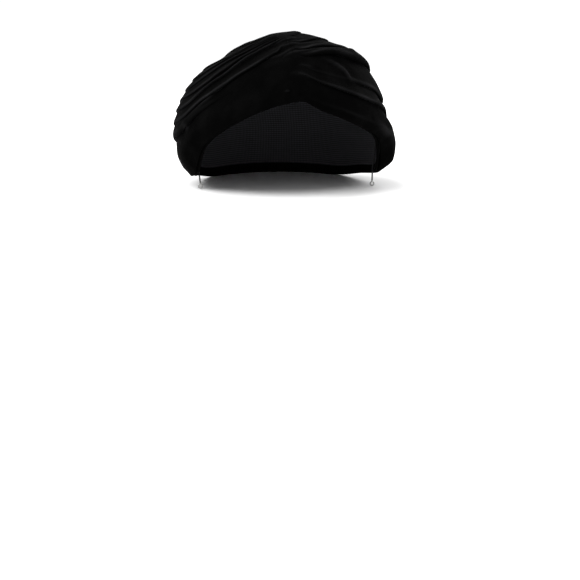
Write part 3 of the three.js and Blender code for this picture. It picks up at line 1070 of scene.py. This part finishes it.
def smooth_path(points, count):
    """Evenly spaced places on a Catmull-Rom curve through a few points."""
    points = np.asarray(points, float)
    ends = np.vstack([2 * points[0] - points[1], points, 2 * points[-1] - points[-2]])
    fine = []
    for a, b, c, d in zip(ends, ends[1:], ends[2:], ends[3:]):
        for t in np.linspace(0, 1, STEPS_PER_POINT, endpoint=False):
            square = 2 * a - 5 * b + 4 * c - d
            cube = 3 * b - a - 3 * c + d
            fine.append(0.5 * (2 * b + (c - a) * t + square * t**2 + cube * t**3))
    fine = np.array([*fine, points[-1]])
    walked = np.append(0, np.cumsum(np.linalg.norm(np.diff(fine, axis=0), axis=1)))
    goals = np.linspace(0, walked[-1], count)
    return np.stack([np.interp(goals, walked, fine[:, k]) for k in range(3)], axis=1)


def tube(name, path, radius_at, material):
    """A closed tube: radius_at gives its radius for a length along the path and an angle round it."""
    steps = np.gradient(path, axis=0)
    steps /= np.linalg.norm(steps, axis=1)[:, None]
    walked = np.append(0, np.cumsum(np.linalg.norm(np.diff(path, axis=0), axis=1)))
    side = np.cross(steps, (0, 1, 0))
    side /= np.linalg.norm(side, axis=1)[:, None]
    up = np.cross(side, steps)
    angle = np.linspace(0, 2 * math.pi, TUBE_SIDES, endpoint=False)
    radius = radius_at(walked[:, None], angle[None, :])
    ring = side[:, None] * np.cos(angle)[None, :, None] + up[:, None] * np.sin(angle)[None, :, None]
    points = (path[:, None] + ring * radius[..., None]).reshape(-1, 3)
    index = np.arange(len(points)).reshape(len(path), TUBE_SIDES)
    turned = np.roll(index, -1, axis=1)
    faces = np.stack([index[:-1], turned[:-1], turned[1:], index[1:]], axis=-1).reshape(-1, 4).tolist()
    faces += [index[0][::-1].tolist(), index[-1].tolist()]
    mesh = bpy.data.meshes.new(name)
    mesh.from_pydata(points.tolist(), [], faces)
    shell = bmesh.new()
    shell.from_mesh(mesh)
    bmesh.ops.recalc_face_normals(shell, faces=shell.faces)
    shell.to_mesh(mesh)
    shell.free()
    mesh.polygons.foreach_set("use_smooth", [True] * len(mesh.polygons))
    mesh.materials.append(material)
    piece = bpy.data.objects.new(name, mesh)
    bpy.context.collection.objects.link(piece)
    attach(piece, "root")
    print(f"{name}: {walked[-1] / MM:.1f} mm long, {len(faces)} faces")
    return piece


# %% Wind the stems and bend the eyes
WIRE_RADIUS = 0.6
EYE_RADIUS = 1.45
EYE_WIRE_RADIUS = 0.5
EYE_GAP_DEGREES = 24.0
GRIP_BEARING = 81.0
STEM_REACHES = np.linspace(0.97, 0.74, 4)
EYE_HALF_SPAN = 68.5
EYE_Y = -15.0
THREAD_PITCH = 0.9  # real winding thread is near 0.25 mm: drawn coarser so that it shows
THREAD_DEPTH = 0.07
STEM_RINGS = 340
EYE_RINGS = 90
EYE_POINTS = 40
NECK_HEIGHTS = (0.1, 0.8)  # how far the eye's wire runs up into the winding
INSIDE = -(CAP_WALL + SEAT_GAP + WIRE_RADIUS)


def winding(length, angle):
    turns = 2 * math.pi * length / (THREAD_PITCH * MM) - angle
    return MM * (WIRE_RADIUS + THREAD_DEPTH * (np.abs(np.cos(turns / 2)) - 1))


def plain_wire(length, angle):
    return np.full(np.broadcast(length, angle).shape, EYE_WIRE_RADIUS * MM)


for word, side in (("left", -1), ("right", 1)):
    bearings = np.full(len(STEM_REACHES), side * GRIP_BEARING)
    inside = hat_points(bearings, STEM_REACHES, np.full(len(STEM_REACHES), INSIDE))
    eye_height = EYE_RADIUS + WIRE_RADIUS
    eye_centre = np.array([side * EYE_HALF_SPAN, EYE_Y, eye_height]) + AXIS
    neck = eye_centre + np.array([0, 0, EYE_RADIUS + WIRE_RADIUS])
    stem = tube(f"{word}_grip_stem", smooth_path([neck * MM, *inside], STEM_RINGS), winding, thread)
    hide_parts(f"{word}_wire_grip")
    sweep = np.radians(np.linspace(90 - EYE_GAP_DEGREES, -270 + EYE_GAP_DEGREES, EYE_POINTS))
    ring = eye_centre + EYE_RADIUS * np.stack([np.cos(sweep), 0 * sweep, np.sin(sweep)], axis=1)
    up_neck = [neck + np.array([0, 0, height]) for height in NECK_HEIGHTS]
    tube(f"{word}_grip_eye", smooth_path(np.vstack([ring, up_neck]) * MM, EYE_RINGS), plain_wire, steel)

# %% [markdown]
# ## Floor, light and camera
# The hat rests on plain white paper that runs out of the frame. Black velvet is hard to light: light straight
# on it is swallowed, and what shows the folds is the grey that the sheen gives where light grazes them. A
# single lamp would leave most of the hat formless. So a broad key light, as soft as a large window, stands
# high at the front left and makes the paper white, two soft boxes at the sides graze the front, two more
# behind draw the edges, and a pale world fills the shadows. The camera looks a little down and from a little
# to the left, and its axis is turned, with no lens shift, so that the hat stands high in the frame.

# %% Floor
FLOOR_HALF = 60.0
CORNER_SIGNS = [(-1, -1), (1, -1), (1, 1), (-1, 1)]
floor_mesh = bpy.data.meshes.new("studio_floor")
floor_corners = [(x * FLOOR_HALF, y * FLOOR_HALF, 0) for x, y in CORNER_SIGNS]
floor_mesh.from_pydata(floor_corners, [], [(0, 1, 2, 3)])
floor = bpy.data.objects.new("studio_floor", floor_mesh)
bpy.context.collection.objects.link(floor)
paper, paper_tree = new_material("white_studio_paper")
finish_material(
    paper_tree,
    add_node(
        paper_tree,
        "ShaderNodeBsdfPrincipled",
        {"Base Color": linear("fbfbfb"), "Roughness": 0.9, "Specular IOR Level": 0.1},
    ),
)
floor_mesh.materials.append(paper)

# %% Light
MIDDLE_HEIGHT_MM = 62.0
HAT_MIDDLE = Vector((AXIS[0] * MM, AXIS[1] * MM, MIDDLE_HEIGHT_MM * MM))
WORLD_STRENGTH = 0.6
KEY_STRENGTH = 1.9  # with the world it lights the paper to white
KEY_SPREAD_DEGREES = 40.0
KEY_FROM = (-0.45, -0.35, 1.0)
SOFTBOXES = [
    {"name": "left_softbox", "place": (-1.0, 0.1, 0.7), "size": 0.6, "watts": 6},
    {"name": "right_softbox", "place": (1.0, 0.0, 0.6), "size": 0.6, "watts": 6},
    {"name": "left_back_softbox", "place": (-0.8, 1.0, 0.8), "size": 0.6, "watts": 10},
    {"name": "right_back_softbox", "place": (0.8, 1.0, 0.8), "size": 0.6, "watts": 10},
]


def add_light(name, kind, place):
    lamp = bpy.data.lights.new(name, kind)
    light = bpy.data.objects.new(name, lamp)
    light.location = place
    light.rotation_euler = (HAT_MIDDLE - light.location).to_track_quat("-Z", "Y").to_euler()
    bpy.context.collection.objects.link(light)
    return lamp


key = add_light("key_light", "SUN", KEY_FROM)
key.energy = KEY_STRENGTH
key.angle = math.radians(KEY_SPREAD_DEGREES)
for row in SOFTBOXES:
    box = add_light(row["name"], "AREA", row["place"])
    box.energy = row["watts"]
    box.size = row["size"]
world = bpy.data.worlds.new("pale_studio")
world.use_nodes = True
world.node_tree.nodes["Background"].inputs["Color"].default_value = linear("ffffff")
world.node_tree.nodes["Background"].inputs["Strength"].default_value = WORLD_STRENGTH
bpy.context.scene.world = world
bpy.context.scene.view_settings.view_transform = "Standard"
print("lights: one key light and", len(SOFTBOXES), "soft boxes")

# %% Camera
IMAGE_SIDE = 580
AZIMUTH = math.radians(-7.0)
ELEVATION = math.radians(4.5)
DISTANCE = 1.28
FOCAL_PX = 1600.0  # 0.80 mm of the hat to a pixel at that distance
HAT_PX = (284.5, 107.5)  # where the hat's middle lands
SENSOR_MM = 36.0
back = Vector(
    (
        math.sin(AZIMUTH) * math.cos(ELEVATION),
        -math.cos(AZIMUTH) * math.cos(ELEVATION),
        math.sin(ELEVATION),
    )
)
right = Vector((0, 0, 1)).cross(back).normalized()
up = back.cross(right)
half_side = IMAGE_SIDE / 2
axis = -back - right * (HAT_PX[0] - half_side) / FOCAL_PX - up * (half_side - HAT_PX[1]) / FOCAL_PX
camera_data = bpy.data.cameras.new("photo_camera")
camera_data.sensor_width = SENSOR_MM
camera_data.lens = SENSOR_MM * FOCAL_PX / IMAGE_SIDE
camera = bpy.data.objects.new("photo_camera", camera_data)
bpy.context.collection.objects.link(camera)
camera.location = HAT_MIDDLE + back * DISTANCE
camera.rotation_euler = axis.to_track_quat("-Z", "Y").to_euler()
bpy.context.scene.camera = camera
print("camera at", [round(c, 3) for c in camera.location], "lens", round(camera_data.lens, 1), "mm")
